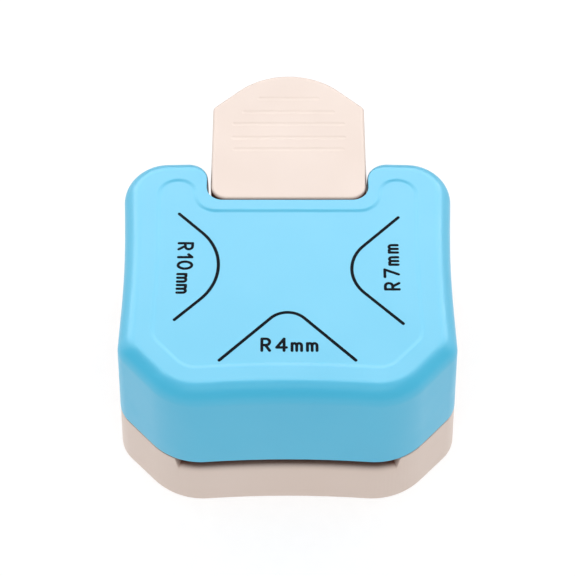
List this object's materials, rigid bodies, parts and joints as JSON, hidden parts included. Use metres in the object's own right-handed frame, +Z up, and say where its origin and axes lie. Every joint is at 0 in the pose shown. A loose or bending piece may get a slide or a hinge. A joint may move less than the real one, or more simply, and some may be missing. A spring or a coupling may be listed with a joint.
{
  "type": "corner rounder",
  "caption": "Desk corner rounder for paper and card: a rear hand lever drives corner punches of different radii through slots on the front and both sides.",
  "frame": {"origin": "centre of the footprint of the whole part (housing and grip together), on the table plane under the base", "axes": "+Z up, +Y from the front paper slot towards the grip of the lever, +X to the right of a user who faces the front slot"},
  "size_m": [0.061, 0.0716, 0.0328],
  "materials": {
    "blue_plastic": "satin moulded ABS, sky blue",
    "ivory_plastic": "satin moulded ABS, warm ivory",
    "carriage_plastic": "matte glass-filled nylon, grey",
    "plate_steel": "blanked sheet steel",
    "tool_steel": "ground hardened steel",
    "screw_steel": "bright zinc plate",
    "spring_steel": "drawn spring wire",
    "printed_ink": "black pad-printed ink"
  },
  "bodies": {
    "base": {"base_shell": "ivory_plastic", "top_cover": "blue_plastic", "die_plate": "plate_steel", "paper_guide": "plate_steel", "guide_plate": "plate_steel", "pivot_frame": "plate_steel", "pivot_pin": "tool_steel", "guide_post_left": "tool_steel", "guide_post_right": "tool_steel", "waste_door_pin": "screw_steel", "cover_screw_front_left": "screw_steel", "cover_screw_front_right": "screw_steel", "cover_screw_rear_left": "screw_steel", "cover_screw_rear_right": "screw_steel", "plate_screw_front_left": "screw_steel", "plate_screw_front_right": "screw_steel", "plate_screw_rear_left": "screw_steel", "plate_screw_rear_right": "screw_steel", "return_spring_left": "spring_steel", "return_spring_right": "spring_steel", "pivot_clip_left": "spring_steel", "pivot_clip_right": "spring_steel"},
    "lever": {"lever": "ivory_plastic", "press_pin": "tool_steel"},
    "punch_carriage": {"punch_holder": "carriage_plastic", "press_pad": "tool_steel", "punch_r4": "tool_steel", "punch_r7": "tool_steel", "punch_r10": "tool_steel", "punch_screw_r4": "screw_steel", "punch_screw_r7": "screw_steel", "punch_screw_r10": "screw_steel"},
    "waste_door": {"waste_door": "ivory_plastic"}
  },
  "joints": [
    {"name": "lever_press", "type": "hinge", "parent": "base", "child": "lever", "pos_m": [0, -0.02543, 0.0265], "axis": [-1, 0, 0], "range_deg": [0, 10.4], "stiffness_Nm_per_rad": 0.63, "springref_deg": -11.46},
    {"name": "punch_stroke", "type": "slide", "parent": "base", "child": "punch_carriage", "axis": [0, 0, -1], "range_m": [0, 0.0026], "deforming": ["return_spring_left", "return_spring_right"]},
    {"name": "waste_door_hinge", "type": "hinge", "parent": "base", "child": "waste_door", "pos_m": [0, 0.01007, 0.00115], "axis": [1, 0, 0], "range_deg": [0, 100]}
  ],
  "couplings": [
    {"joint": "punch_stroke", "follows": "lever_press", "m_per_rad": 0.014}
  ]
}
